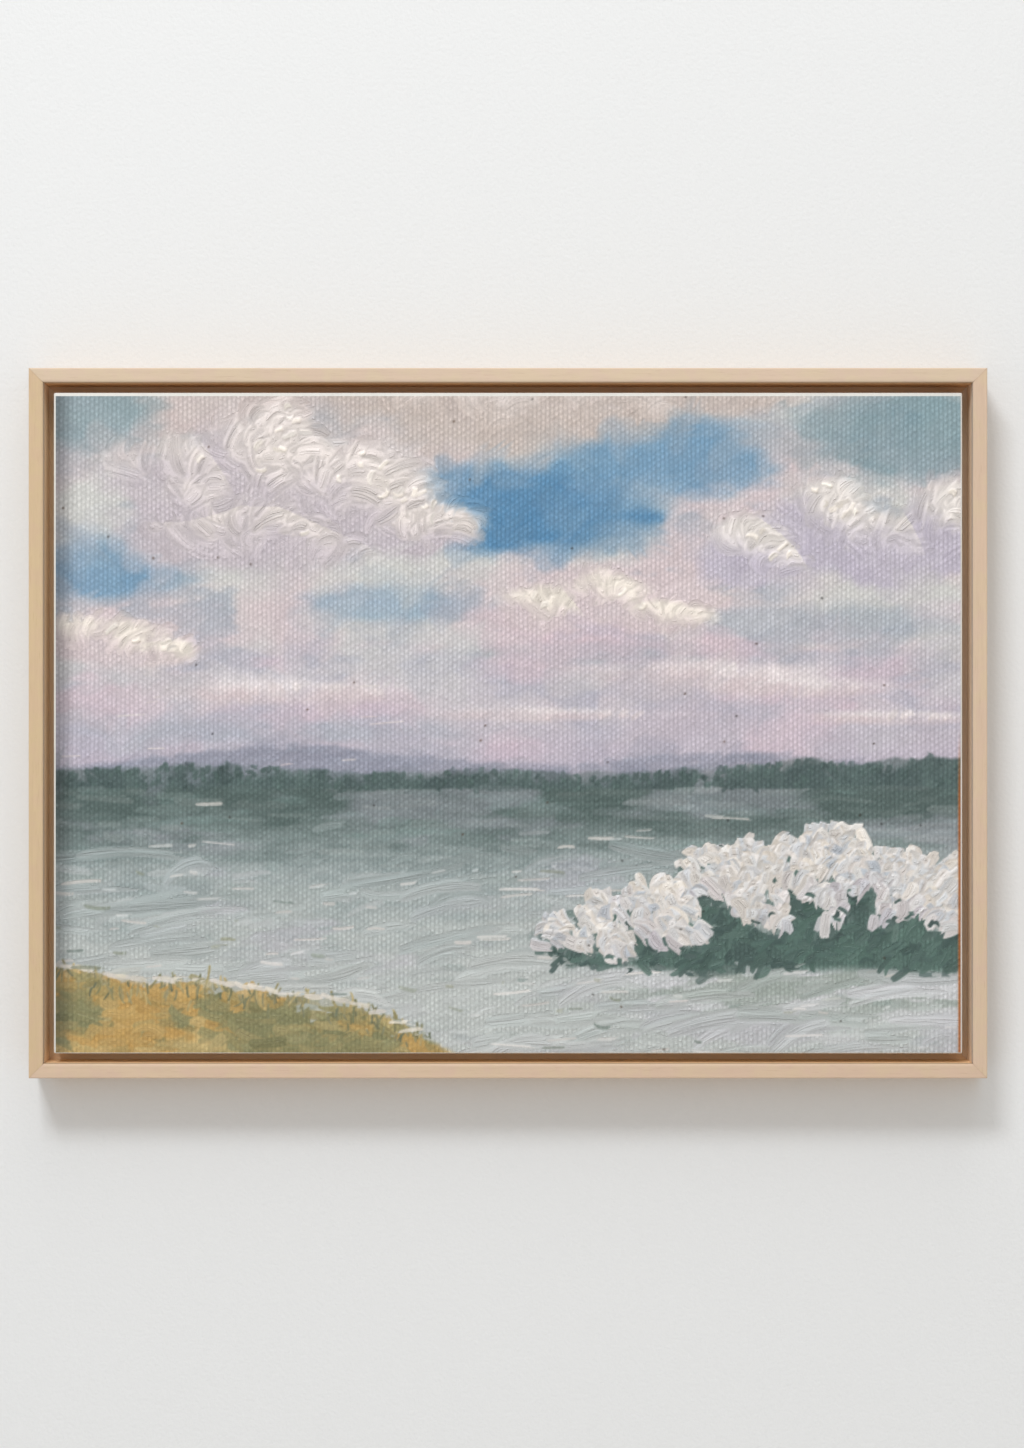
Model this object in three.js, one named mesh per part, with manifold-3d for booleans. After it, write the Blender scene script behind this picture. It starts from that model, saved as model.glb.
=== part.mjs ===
// Framed oil painting: a canvas on stretcher bars, held in a mitred floater frame.
// Millimetres, +Z up. The plane Y = 0 is the wall and the picture faces -Y.
// The origin is on the back of the top rail, midway between the two wall screws.

import * as THREE from 'three';
import { mergeVertices } from 'three/addons/utils/BufferGeometryUtils.js';
import Module from 'manifold-3d';

// Stretched canvas, measured over the cloth
const canvasWidth = 558.8;
const canvasHeight = 406.4;
const clothThickness = 1.0;
const clothTurnover = 32;

// Stretcher bars: a flat outer strip, then a face that slopes away from the cloth
const barWidth = 38;
const barDepth = 19;
const barStrip = 7;
const barSlopeDrop = 3;
const barEdgeRadius = 0.6;
const barInnerRadius = 1.5;

// Frame moulding: an L whose foot is the ledge behind the canvas
const faceWidth = 9.1;
const shadowGap = 5.8;
const canvasRecess = 4.1;
const ledgeThickness = 9;
const ledgeReach = 20;
const outerArrisRadius = 0.9;
const innerArrisRadius = 1.8;
const ledgeRadius = 1.2;

// Countersunk screws from the ledge into the bars
const screwRadius = 1.75;
const screwHeadRadius = 3.5;
const screwHeadHeight = 2.2;
const screwPoint = 4;
const screwBite = 12;
const screwInset = 10;
const screwOffsetLong = 95;
const screwOffsetShort = 85;

// Keyhole hanger plates, let in flush behind the top rail
const hangDrop = 12;
const plateOffset = 170;
const plateLength = 44;
const plateAboveHang = 6.5;
const plateBelowHang = 16.5;
const plateThickness = 1.5;
const plateCornerRadius = 5;
const slotRadius = 2.3;
const entryRadius = 4.8;
const entryDrop = 8.5;
const headPocketDepth = 4.8;
const headPocketRadius = 6;
const plateScrewInset = 5.5;
const plateScrewDrop = 5;
const plateScrewRadius = 1.3;
const plateScrewHeadRadius = 2.7;
const plateScrewHeadHeight = 1.3;
const plateScrewPoint = 2;
const plateScrewLength = 6.4;

// Clearances
const seatGap = 0.3;
const clothFit = 0.3;
const mitreGap = 0.2;
const holeFit = 0.25;
const plateFit = 0.3;
const flushGap = 0.2;

// Facets on round stretches
const arcSegments = 4;
const entrySegments = 12;
const slotEndSegments = 5;
const roundSegments = 16;

// Depths behind the picture, counted forward from the wall
const clothBack = ledgeThickness + seatGap;
const barBack = clothBack + clothThickness + clothFit;
const clothFront = barBack + barDepth + clothFit + clothThickness;
const frameDepth = clothFront + canvasRecess;

// Sizes that follow
const canvasInset = faceWidth + shadowGap;
const frameWidth = canvasWidth + 2 * canvasInset;
const frameHeight = canvasHeight + 2 * canvasInset;
const railWidth = canvasInset + ledgeReach;
const barInset = clothThickness + clothFit;
const cavityRadius = barEdgeRadius + clothFit;
const clothEdgeRadius = cavityRadius + clothThickness;

const plateScrewOffset = plateLength / 2 - plateScrewInset;

// A cut starts this far outside the face that it opens
const cutStart = 1;

const fixingScrew = {
  radius: screwRadius,
  headRadius: screwHeadRadius,
  headHeight: screwHeadHeight,
  point: screwPoint,
  length: barBack + screwBite - flushGap,
};

const plateScrew = {
  radius: plateScrewRadius,
  headRadius: plateScrewHeadRadius,
  headHeight: plateScrewHeadHeight,
  point: plateScrewPoint,
  length: plateScrewLength,
};

// Each side's turn about Y from the bottom side, its lengths, and its two ends as they then lie
const long = { length: frameWidth, across: frameHeight, screwOffset: screwOffsetLong };
const short = { length: frameHeight, across: frameWidth, screwOffset: screwOffsetShort };
const sides = {
  bottom: { turn: 0, ends: ['left', 'right'], ...long },
  top: { turn: Math.PI, ends: ['right', 'left'], ...long },
  left: { turn: Math.PI / 2, ends: ['upper', 'lower'], ...short },
  right: { turn: -Math.PI / 2, ends: ['lower', 'upper'], ...short },
};

// Colours and surfaces
const paleWood = new THREE.MeshStandardMaterial({ color: 0xd8bd9d, roughness: 0.55, metalness: 0 });
const pineWood = new THREE.MeshStandardMaterial({ color: 0xd9bd8c, roughness: 0.7, metalness: 0 });
const paintedCloth = new THREE.MeshStandardMaterial({ color: 0xb4b6ba, roughness: 0.6, metalness: 0 });
const zincSteel = new THREE.MeshStandardMaterial({ color: 0xb9bbb8, roughness: 0.35, metalness: 1 });

const wasm = await Module();
wasm.setup();

// Solids for joining and cutting

function toSolid(geometry) {
  const bare = geometry.clone();
  bare.deleteAttribute('normal');
  bare.deleteAttribute('uv');
  const merged = mergeVertices(bare, 1e-5);
  const index = merged.index.array;
  const corners = [];
  for (let i = 0; i < index.length; i += 3) {
    const [a, b, c] = index.subarray(i, i + 3);
    if (a !== b && b !== c && c !== a) corners.push(a, b, c);
  }
  return new wasm.Manifold(new wasm.Mesh({
    numProp: 3,
    vertProperties: new Float32Array(merged.attributes.position.array),
    triVerts: new Uint32Array(corners),
  }));
}

function toGeometry(solid) {
  const mesh = solid.getMesh();
  const geometry = new THREE.BufferGeometry();
  geometry.setAttribute('position', new THREE.BufferAttribute(mesh.vertProperties, 3));
  geometry.setIndex(new THREE.BufferAttribute(mesh.triVerts, 1));
  return geometry;
}

function cut(geometry, cutters) {
  const remaining = cutters.reduce((solid, cutter) => solid.subtract(toSolid(cutter)), toSolid(geometry));
  return toGeometry(remaining);
}

// Outlines

// Each corner is [across, up, radius], and a radius of 0 leaves it sharp
function roundedOutline(corners) {
  const shape = new THREE.Shape();
  corners.forEach(([x, y, radius], i) => {
    const corner = new THREE.Vector2(x, y);
    const previous = corners.at(i - 1);
    const next = corners[(i + 1) % corners.length];
    const start = new THREE.Vector2(previous[0], previous[1]).sub(corner).setLength(radius).add(corner);
    const end = new THREE.Vector2(next[0], next[1]).sub(corner).setLength(radius).add(corner);
    if (i === 0) shape.moveTo(start.x, start.y);
    else shape.lineTo(start.x, start.y);
    if (radius > 0) shape.quadraticCurveTo(x, y, end.x, end.y);
  });
  shape.closePath();
  return shape;
}

function rectangle(left, right, low, high, radius = 0) {
  return roundedOutline([
    [left, low, radius],
    [right, low, radius],
    [right, high, radius],
    [left, high, radius],
  ]);
}

function centredRectangle(width, height) {
  return rectangle(-width / 2, width / 2, -height / 2, height / 2);
}

// Extrusions

// An upright slab: an outline in X and Z, between two depths from the wall
function slab(outline, back, front) {
  const geometry = new THREE.ExtrudeGeometry(outline, {
    depth: front - back,
    bevelEnabled: false,
    curveSegments: arcSegments,
  });
  geometry.rotateX(Math.PI / 2);
  geometry.translate(0, -back, 0);
  return geometry;
}

// A block whose front edges are rounded, as cloth drawn over bars is, left square behind
function wrappedBlock(width, height, back, front, radius) {
  const geometry = new THREE.ExtrudeGeometry(centredRectangle(width, height), {
    depth: front - back,
    bevelThickness: radius,
    bevelSize: radius,
    bevelOffset: -radius,
    bevelSegments: arcSegments,
  });
  geometry.rotateX(Math.PI / 2);
  geometry.translate(0, radius - back, 0);
  const squareBack = slab(centredRectangle(width, height), back, front);
  return toSolid(geometry).intersect(toSolid(squareBack));
}

// A mitred length for the bottom side, from an outline of inward distance and depth from the wall
function mitredLength(outline, length) {
  const geometry = new THREE.ExtrudeGeometry(outline, {
    depth: length,
    bevelEnabled: false,
    curveSegments: arcSegments,
  });
  const position = geometry.attributes.position;
  const gapAlong = (mitreGap / 2) * Math.SQRT2;
  for (let i = 0; i < position.count; i++) {
    const inward = position.getX(i);
    const depth = position.getY(i);
    const end = position.getZ(i) > length / 2 ? 1 : -1;
    position.setXYZ(i, end * (length / 2 - inward - gapAlong), -depth, inward);
  }
  return geometry;
}

// Screws, turned about Y with the head at y = 0

function turned(profile) {
  const points = profile.map(([radius, y]) => new THREE.Vector2(radius, y));
  return new THREE.LatheGeometry(points, roundSegments);
}

function screwGeometry({ radius, headRadius, headHeight, point, length }) {
  return turned([
    [0, -length],
    [radius, point - length],
    [radius, -headHeight],
    [headRadius, 0],
    [0, 0],
  ]);
}

function screwHole({ radius, headRadius, headHeight, length }) {
  return turned([
    [0, -length - holeFit],
    [radius + holeFit, -length - holeFit],
    [radius + holeFit, -headHeight - holeFit],
    [headRadius + holeFit, -holeFit],
    [headRadius + holeFit, cutStart],
    [0, cutStart],
  ]);
}

// Where things sit, in the picture's own frame with its centre at the origin

function sidePoint(side, along, inward) {
  const { turn, across } = sides[side];
  const point = new THREE.Vector3(along, 0, inward - across / 2);
  return point.applyAxisAngle(new THREE.Vector3(0, 1, 0), turn);
}

function placeOnSide(mesh, side, inset) {
  mesh.rotation.y = sides[side].turn;
  mesh.position.copy(sidePoint(side, 0, inset));
}

function namedMesh(name, geometry, material) {
  const mesh = new THREE.Mesh(geometry, material);
  mesh.name = name;
  return mesh;
}

// Frame rails

const screwInward = canvasInset + screwInset;

function railOutline() {
  return roundedOutline([
    [0, 0, outerArrisRadius],
    [railWidth, 0, ledgeRadius],
    [railWidth, ledgeThickness, ledgeRadius],
    [faceWidth, ledgeThickness, 0],
    [faceWidth, frameDepth, innerArrisRadius],
    [0, frameDepth, outerArrisRadius],
  ]);
}

function screwPlaces(side) {
  const { screwOffset } = sides[side];
  return [-screwOffset, screwOffset];
}

function fixingHoles(side, inward) {
  return screwPlaces(side).map((along) => {
    const hole = screwHole(fixingScrew);
    hole.translate(along, -flushGap, inward);
    return hole;
  });
}

// Cuts for one hanger, round its hang point: the plate's recess, the pocket behind it for the
// head of the wall screw, and the holes for its own screws
function hangerCuts() {
  const plateBack = flushGap + plateThickness + plateFit;
  const halfLength = plateLength / 2 + plateFit;
  const recess = slab(
    rectangle(
      -halfLength,
      halfLength,
      -plateBelowHang - plateFit,
      plateAboveHang + plateFit,
      plateCornerRadius,
    ),
    -cutStart,
    plateBack,
  );
  const pocket = slab(
    rectangle(
      -headPocketRadius,
      headPocketRadius,
      -entryDrop - headPocketRadius,
      headPocketRadius,
      headPocketRadius,
    ),
    0,
    plateBack + headPocketDepth,
  );
  const holes = [-plateScrewOffset, plateScrewOffset].map((offset) => {
    const hole = screwHole(plateScrew);
    hole.translate(offset, -flushGap, -plateScrewDrop);
    return hole;
  });
  return [recess, pocket, ...holes];
}

function railCuts(side) {
  const cuts = fixingHoles(side, screwInward);
  if (side !== 'top') return cuts;
  for (const offset of [-plateOffset, plateOffset]) {
    for (const hangerCut of hangerCuts()) {
      hangerCut.rotateY(Math.PI);
      hangerCut.translate(offset, 0, hangDrop);
      cuts.push(hangerCut);
    }
  }
  return cuts;
}

function rail(side) {
  const length = mitredLength(railOutline(), sides[side].length);
  const mesh = namedMesh(`rail_${side}`, cut(length, railCuts(side)), paleWood);
  placeOnSide(mesh, side, 0);
  return mesh;
}

// Stretcher bars

function barOutline() {
  return roundedOutline([
    [0, 0, barEdgeRadius],
    [barWidth, 0, barInnerRadius],
    [barWidth, barDepth - barSlopeDrop, barInnerRadius],
    [barStrip, barDepth, 0],
    [0, barDepth, barEdgeRadius],
  ]);
}

function stretcher(side) {
  const inset = canvasInset + barInset;
  const bar = mitredLength(barOutline(), sides[side].length - 2 * inset);
  bar.translate(0, -barBack, 0);
  const mesh = namedMesh(`stretcher_${side}`, cut(bar, fixingHoles(side, screwInward - inset)), pineWood);
  placeOnSide(mesh, side, inset);
  return mesh;
}

// Canvas: painted front, wrapped sides and the turnover behind, as one cloth

function canvas() {
  const outer = wrappedBlock(canvasWidth, canvasHeight, clothBack, clothFront, clothEdgeRadius);
  const inner = wrappedBlock(
    canvasWidth - 2 * clothThickness,
    canvasHeight - 2 * clothThickness,
    clothBack + clothThickness,
    clothFront - clothThickness,
    cavityRadius,
  );
  const windowWidth = canvasWidth - 2 * clothTurnover;
  const windowHeight = canvasHeight - 2 * clothTurnover;
  const window = slab(centredRectangle(windowWidth, windowHeight), clothBack - cutStart, barBack);
  const holes = Object.keys(sides).flatMap((side) => screwPlaces(side).map((along) => {
    const hole = screwHole(fixingScrew);
    const place = sidePoint(side, along, screwInward);
    hole.rotateY(sides[side].turn);
    hole.translate(place.x, -flushGap, place.z);
    return hole;
  }));
  const tray = toGeometry(outer.subtract(inner));
  return namedMesh('canvas', cut(tray, [window, ...holes]), paintedCloth);
}

// Fixing screws

function fixingScrews(side) {
  const { turn, ends } = sides[side];
  return screwPlaces(side).map((along, i) => {
    const mesh = namedMesh(`screw_${side}_${ends[i]}`, screwGeometry(fixingScrew), zincSteel);
    mesh.position.copy(sidePoint(side, along, screwInward)).setY(-flushGap);
    mesh.rotation.y = turn;
    return mesh;
  });
}

// Keyhole hangers

function arcPoints(centreY, radius, from, to, segments) {
  return Array.from({ length: segments + 1 }, (_, i) => {
    const angle = from + ((to - from) * i) / segments;
    return new THREE.Vector2(radius * Math.cos(angle), centreY + radius * Math.sin(angle));
  });
}

// The wall screw's head enters below, and its shank rides up to the slot's round end
function keyholeOutline() {
  const mouth = Math.asin(slotRadius / entryRadius);
  const entryStart = Math.PI / 2 + mouth;
  const entryEnd = 2.5 * Math.PI - mouth;
  return new THREE.Path([
    ...arcPoints(-entryDrop, entryRadius, entryStart, entryEnd, entrySegments),
    ...arcPoints(0, slotRadius, 0, Math.PI, slotEndSegments),
  ]);
}

function hangerPlate(name) {
  const halfLength = plateLength / 2;
  const outline = rectangle(-halfLength, halfLength, -plateBelowHang, plateAboveHang, plateCornerRadius);
  outline.holes.push(keyholeOutline());
  const countersinks = [-plateScrewOffset, plateScrewOffset].map((offset) => {
    const hole = screwHole(plateScrew);
    hole.translate(offset, 0, -plateScrewDrop);
    return hole;
  });
  return namedMesh(name, cut(slab(outline, 0, plateThickness), countersinks), zincSteel);
}

function hanger(end, offset) {
  const group = new THREE.Group();
  group.add(hangerPlate(`hanger_${end}`));
  [-plateScrewOffset, plateScrewOffset].forEach((along, i) => {
    const screw = namedMesh(`hanger_screw_${end}_${i + 1}`, screwGeometry(plateScrew), zincSteel);
    screw.position.set(along, 0, -plateScrewDrop);
    group.add(screw);
  });
  group.position.set(offset, -flushGap, 0);
  return group;
}

// The whole object

const picture = new THREE.Group();
picture.position.z = hangDrop - frameHeight / 2;
picture.add(canvas());
for (const side of Object.keys(sides)) {
  picture.add(rail(side), stretcher(side), ...fixingScrews(side));
}

const framedPainting = new THREE.Group();
framedPainting.add(picture, hanger('left', -plateOffset), hanger('right', plateOffset));

export default framedPainting;
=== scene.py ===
# Framed oil painting: the finish of the wood, the canvas, the paint and the fixings behind it.
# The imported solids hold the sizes. Everything is in metres, with the wall at Y = 0.

import math

import bmesh
import bpy
import numpy as np
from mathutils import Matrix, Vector


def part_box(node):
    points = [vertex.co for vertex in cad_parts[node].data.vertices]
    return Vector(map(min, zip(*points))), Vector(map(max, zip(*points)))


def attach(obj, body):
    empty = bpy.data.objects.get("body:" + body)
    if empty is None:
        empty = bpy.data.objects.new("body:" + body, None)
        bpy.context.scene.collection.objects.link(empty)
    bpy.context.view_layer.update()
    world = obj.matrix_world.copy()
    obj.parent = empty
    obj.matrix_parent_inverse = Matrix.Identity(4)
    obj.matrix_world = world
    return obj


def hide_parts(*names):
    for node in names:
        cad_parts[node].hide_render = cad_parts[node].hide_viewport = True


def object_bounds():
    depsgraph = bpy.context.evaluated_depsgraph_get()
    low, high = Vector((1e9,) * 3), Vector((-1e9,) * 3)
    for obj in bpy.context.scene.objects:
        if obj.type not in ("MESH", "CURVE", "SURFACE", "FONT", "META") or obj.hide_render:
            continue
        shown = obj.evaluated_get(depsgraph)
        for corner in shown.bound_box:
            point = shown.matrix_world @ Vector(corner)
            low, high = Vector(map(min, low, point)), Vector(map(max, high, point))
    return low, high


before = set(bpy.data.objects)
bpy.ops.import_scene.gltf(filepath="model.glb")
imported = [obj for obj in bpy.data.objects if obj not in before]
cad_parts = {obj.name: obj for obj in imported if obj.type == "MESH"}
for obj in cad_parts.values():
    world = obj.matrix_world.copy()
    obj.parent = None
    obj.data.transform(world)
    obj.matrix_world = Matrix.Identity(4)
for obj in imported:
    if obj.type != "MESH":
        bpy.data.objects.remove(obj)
cad_low, cad_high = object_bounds()
frame_middle = (cad_low + cad_high) / 2

# View: a long lens straight in front of the picture, at the height of its middle.
# The picture's place in the frame is the photograph's, given in pixels of its 1024 by 1448 frame.

FRAME_PIXELS = (1024, 1448)
PICTURE_LEFT_PIXEL, PICTURE_RIGHT_PIXEL = 28.5, 987.5
PICTURE_MIDDLE_PIXEL_DOWN = 723.1
CAMERA_DISTANCE = 2.0
SENSOR = 0.036

metres_per_pixel = (cad_high.x - cad_low.x) / (PICTURE_RIGHT_PIXEL - PICTURE_LEFT_PIXEL)
pixels_right = FRAME_PIXELS[0] / 2 - (PICTURE_LEFT_PIXEL + PICTURE_RIGHT_PIXEL) / 2
pixels_down = FRAME_PIXELS[1] / 2 - PICTURE_MIDDLE_PIXEL_DOWN

camera = bpy.data.objects.new("camera", bpy.data.cameras.new("camera"))
bpy.context.scene.collection.objects.link(camera)
camera.location = (
    frame_middle.x + pixels_right * metres_per_pixel,
    cad_low.y - CAMERA_DISTANCE,
    frame_middle.z - pixels_down * metres_per_pixel,
)
camera.rotation_euler = (math.radians(90), 0, 0)
camera.data.sensor_width = SENSOR * 1000
camera.data.lens = SENSOR * 1000 * CAMERA_DISTANCE / (FRAME_PIXELS[1] * metres_per_pixel)
bpy.context.scene.camera = camera
bpy.context.scene.view_settings.view_transform = "Standard"
bpy.context.scene.view_settings.look = "None"

# Wall and floor: a smooth painted wall that the frame hangs flat on, and a pale floor well below.
# The wall is open behind the frame and see-through from behind, so that the frame's back can be seen.
# A faint brown painted shadow lies on it close under the frame.

WALL_REACH = 4.4
WALL_OPENING_INSET = 0.0005
WALL_CLEARANCE = 0.0001
FLOOR_DROP = 1.5
WALL_COLOUR = (0.80, 0.80, 0.795, 1)
WALL_PAINTED_SHADOW = (0.738, 0.656, 0.570, 1)
SHADE_FADE = 0.008
SHADE_EDGE = 0.001
SHADE_INSET_LEFT = 0.02
SHADE_SPREAD_RIGHT = 0.004
PLASTER_SCALE = 420
PLASTER_HEIGHT = 0.00025
FLOOR_COLOUR = (0.74, 0.735, 0.725, 1)
FLOOR_SIZE = 20


class Wire:
    """One output of a material's nodes, so that shader maths reads as sums."""

    def __init__(self, tree, socket=None):
        self.tree = tree
        self.socket = socket

    def node(self, kind, settings, values, output=0):
        """Adds a node, sets it up, fills its inputs with numbers or wires, and gives one output."""
        made = self.tree.nodes.new(kind)
        for name, setting in settings.items():
            setattr(made, name, setting)
        for name, value in values.items():
            if isinstance(value, Wire):
                self.tree.links.new(value.socket, made.inputs[name])
            else:
                made.inputs[name].default_value = value
        return Wire(self.tree, made.outputs[output])

    def maths(self, operation, *others):
        return self.node("ShaderNodeMath", {"operation": operation}, dict(enumerate((self, *others))))

    def __add__(self, other):
        return self.maths("ADD", other)

    __radd__ = __add__

    def __sub__(self, other):
        return self.maths("SUBTRACT", other)

    def __rsub__(self, other):
        return self.node("ShaderNodeMath", {"operation": "SUBTRACT"}, {0: other, 1: self})

    def __mul__(self, other):
        return self.maths("MULTIPLY", other)

    __rmul__ = __mul__

    def __truediv__(self, other):
        return self.maths("DIVIDE", other)

    def axis(self, name):
        return self.node("ShaderNodeSeparateXYZ", {}, {0: self}, name)

    def ramp(self, low, high, to_low=0.0, to_high=1.0):
        """A smooth step from to_low to to_high as this goes from low to high."""
        limits = {1: low, 2: high, 3: to_low, 4: to_high}
        return self.node("ShaderNodeMapRange", {"interpolation_type": "SMOOTHSTEP"}, {0: self, **limits})

    def between(self, colour_low, colour_high):
        """A colour that goes from one to the other as this goes from 0 to 1."""
        return self.node("ShaderNodeMix", {"data_type": "RGBA"}, {0: self, 6: colour_low, 7: colour_high}, 2)

    def placed(self, scale, location=(0, 0, 0)):
        return self.node("ShaderNodeMapping", {}, {"Vector": self, "Scale": scale, "Location": location})

    def noise(self, scale, detail, roughness=0.5):
        values = {"Vector": self, "Scale": scale, "Detail": detail, "Roughness": roughness}
        return self.node("ShaderNodeTexNoise", {}, values, "Fac")

    def bumped(self, distance, **under):
        """A normal for this height, which is 1 at a distance in metres, laid over the bumps under it."""
        return self.node("ShaderNodeBump", {}, {"Height": self, "Distance": distance, **under})


def new_finish(name):
    """A new material with its shader, and the wire of the object's own coordinates."""
    material = bpy.data.materials.new(name)
    material.use_nodes = True
    shader = material.node_tree.nodes["Principled BSDF"]
    place = Wire(material.node_tree).node("ShaderNodeTexCoord", {}, {}, "Object")
    return material, shader, place


def feed(shader, **wires):
    """Connects wires to the shader's inputs; an underscore stands for a space in an input's name."""
    for name, wire in wires.items():
        wire.tree.links.new(wire.socket, shader.inputs[name.replace("_", " ")])


def select_only(piece):
    bpy.ops.object.select_all(action="DESELECT")
    piece.select_set(True)
    bpy.context.view_layer.objects.active = piece


def settle(piece, name):
    """Names a piece and puts its place and turn into its mesh."""
    select_only(piece)
    bpy.ops.object.transform_apply(location=True, rotation=True, scale=True)
    piece.name = piece.data.name = name
    return piece


wall_paint, wall_shader, place = new_finish("wall_paint")
wall_shader.inputs["Roughness"].default_value = 0.9
wall_shader.inputs["Specular IOR Level"].default_value = 0.2
height = place.axis("Z") - cad_low.z
fade = height.maths("MINIMUM", 0.0) / SHADE_FADE
shaded = fade.maths("EXPONENT") * height.ramp(SHADE_EDGE, 0.0)
shaded = shaded * place.axis("X").ramp(cad_low.x, cad_low.x + SHADE_INSET_LEFT)
shaded = shaded * place.axis("X").ramp(cad_high.x + SHADE_SPREAD_RIGHT, cad_high.x - SHADE_SPREAD_RIGHT)
feed(wall_shader, Base_Color=shaded.between(WALL_COLOUR, WALL_PAINTED_SHADOW))
feed(wall_shader, Normal=place.noise(PLASTER_SCALE, 3).bumped(PLASTER_HEIGHT))
wall_tree = wall_paint.node_tree
seen_from_behind = place.node("ShaderNodeNewGeometry", {}, {}, "Backfacing")
clear = place.node("ShaderNodeBsdfTransparent", {}, {})
front = Wire(wall_tree, wall_shader.outputs[0])
one_sided = place.node("ShaderNodeMixShader", {}, {0: seen_from_behind, 1: front, 2: clear})
wall_tree.links.new(one_sided.socket, wall_tree.nodes["Material Output"].inputs["Surface"])

floor_paint, floor_shader, place = new_finish("floor_paint")
floor_shader.inputs["Base Color"].default_value = FLOOR_COLOUR
floor_shader.inputs["Roughness"].default_value = 0.8

bpy.ops.object.select_all(action="DESELECT")
wall_place = (frame_middle.x, WALL_CLEARANCE, frame_middle.z)
wall_reach = 2 * (WALL_REACH - WALL_OPENING_INSET)
bpy.ops.mesh.primitive_plane_add(size=1, location=wall_place, rotation=(math.radians(90), 0, 0))
wall = bpy.context.object
wall.scale = (cad_high.x - cad_low.x + wall_reach, cad_high.z - cad_low.z + wall_reach, 1)
settle(wall, "wall")
bpy.ops.object.mode_set(mode="EDIT")
bpy.ops.mesh.select_all(action="SELECT")
bpy.ops.mesh.inset(thickness=WALL_REACH)
bpy.ops.mesh.delete(type="FACE")
bpy.ops.object.mode_set(mode="OBJECT")
wall.data.materials.append(wall_paint)

bpy.ops.object.select_all(action="DESELECT")
bpy.ops.mesh.primitive_plane_add(size=FLOOR_SIZE, location=(0, 0, frame_middle.z - FLOOR_DROP))
floor = settle(bpy.context.object, "floor")
floor.data.materials.append(floor_paint)

# Light: a broad even room, with one soft window-like light high and to the left in front.
# A second soft light behind the wall is for views of the back alone.

ROOM_COLOUR = (1.0, 0.975, 0.94, 1)
ROOM_STRENGTH = 0.63
KEY_DIRECTION = Vector((-0.36, -1.0, 1.06)).normalized()
KEY_DISTANCE = 4.2
KEY_SIZE = (1.2, 0.8)
KEY_COLOUR = (0.95, 1.0, 1.05)
KEY_POWER = 80
HIGH_DIRECTION = Vector((0.1, -1.0, 2.1)).normalized()
HIGH_DISTANCE = 3.6
HIGH_SIZE = (1.8, 1.8)
HIGH_POWER = 25
REAR_DIRECTION = Vector((-0.5, 1.0, 0.8)).normalized()
REAR_DISTANCE = 2.6
REAR_SIZE = (1.2, 1.2)
REAR_POWER = 26
WHITE = (1.0, 1.0, 1.0)

room = bpy.data.worlds.new("room")
bpy.context.scene.world = room
room.use_nodes = True
room.node_tree.nodes["Background"].inputs["Color"].default_value = ROOM_COLOUR
room.node_tree.nodes["Background"].inputs["Strength"].default_value = ROOM_STRENGTH


def soft_light(name, direction, distance, size, colour, power):
    lamp = bpy.data.objects.new(name, bpy.data.lights.new(name, "AREA"))
    bpy.context.scene.collection.objects.link(lamp)
    lamp.data.shape = "RECTANGLE"
    lamp.data.size, lamp.data.size_y = size
    lamp.data.color = colour
    lamp.data.energy = power
    lamp.location = frame_middle + direction * distance
    lamp.rotation_euler = (-direction).to_track_quat("-Z", "Y").to_euler()


soft_light("key_light", KEY_DIRECTION, KEY_DISTANCE, KEY_SIZE, KEY_COLOUR, KEY_POWER)
soft_light("high_light", HIGH_DIRECTION, HIGH_DISTANCE, HIGH_SIZE, WHITE, HIGH_POWER)
soft_light("rear_light", REAR_DIRECTION, REAR_DISTANCE, REAR_SIZE, WHITE, REAR_POWER)

# Frame rails: one moulding of fine pale wood, cut in four and glued at the mitres, then matt lacquered.
# The grain runs along each rail and hardly shows; the wood is mottled in pinkish and straw tones.
# Inside the gap beside the canvas the wood carries painted brown shade, each rail a little differently.

# Each rail's tint is painted light and shade for the side it faces; it fades out towards the back of the
# rail.
RAIL_LIGHT_AND_SHADE = {
    "top": (0.95, 0.99, 1.05),
    "bottom": (0.93, 0.925, 0.955),
    "left": (0.90, 0.89, 0.80),
    "right": (0.935, 0.94, 0.965),
}
GAP_SHADE_TINTS = {
    "top": (0.92, 0.74, 0.56),
    "bottom": (1.00, 0.96, 0.86),
    "left": (1.00, 1.05, 1.12),
    "right": (1.00, 1.11, 1.34),
}
WOOD_PINK = (0.706, 0.516, 0.368)
WOOD_STRAW = (0.706, 0.532, 0.358)
WOOD_PORE = (0.520, 0.340, 0.205)
WOOD_BEHIND = (0.93, 0.92, 0.92)
# Painted shade in the gap: dark brown near the face, where more light falls, and lighter down on the floor,
# where little falls.
GAP_SHADE_AT_FACE = (0.42, 0.31, 0.22)
GAP_SHADE_AT_FLOOR = (0.98, 0.68, 0.42)
GAP_SHADE_FULL_DEPTH = -0.025
FACE_WIDTH = 0.0091
FACE_EDGE = 0.0008
LEDGE_THICKNESS = 0.009
SIDE_FADE = (-0.012, -0.002)
GRAIN_STRETCH = 0.045
MOTTLE_SCALE, DRIFT_SCALE = 75, 9
GRAIN_SCALE, STREAK_SCALE, PORE_SCALE = 900, 260, 2100
GRAIN_HEIGHT = 0.00004


def along_grain(place, upright, offset):
    """Coordinates drawn out along the grain, so that a pattern on them runs with the wood."""
    scale = (1, 1, GRAIN_STRETCH) if upright else (GRAIN_STRETCH, 1, 1)
    return place.placed(scale, offset)


def tinted(colour, tone):
    return (*(channel * share for channel, share in zip(colour, tone)), 1)


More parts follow.
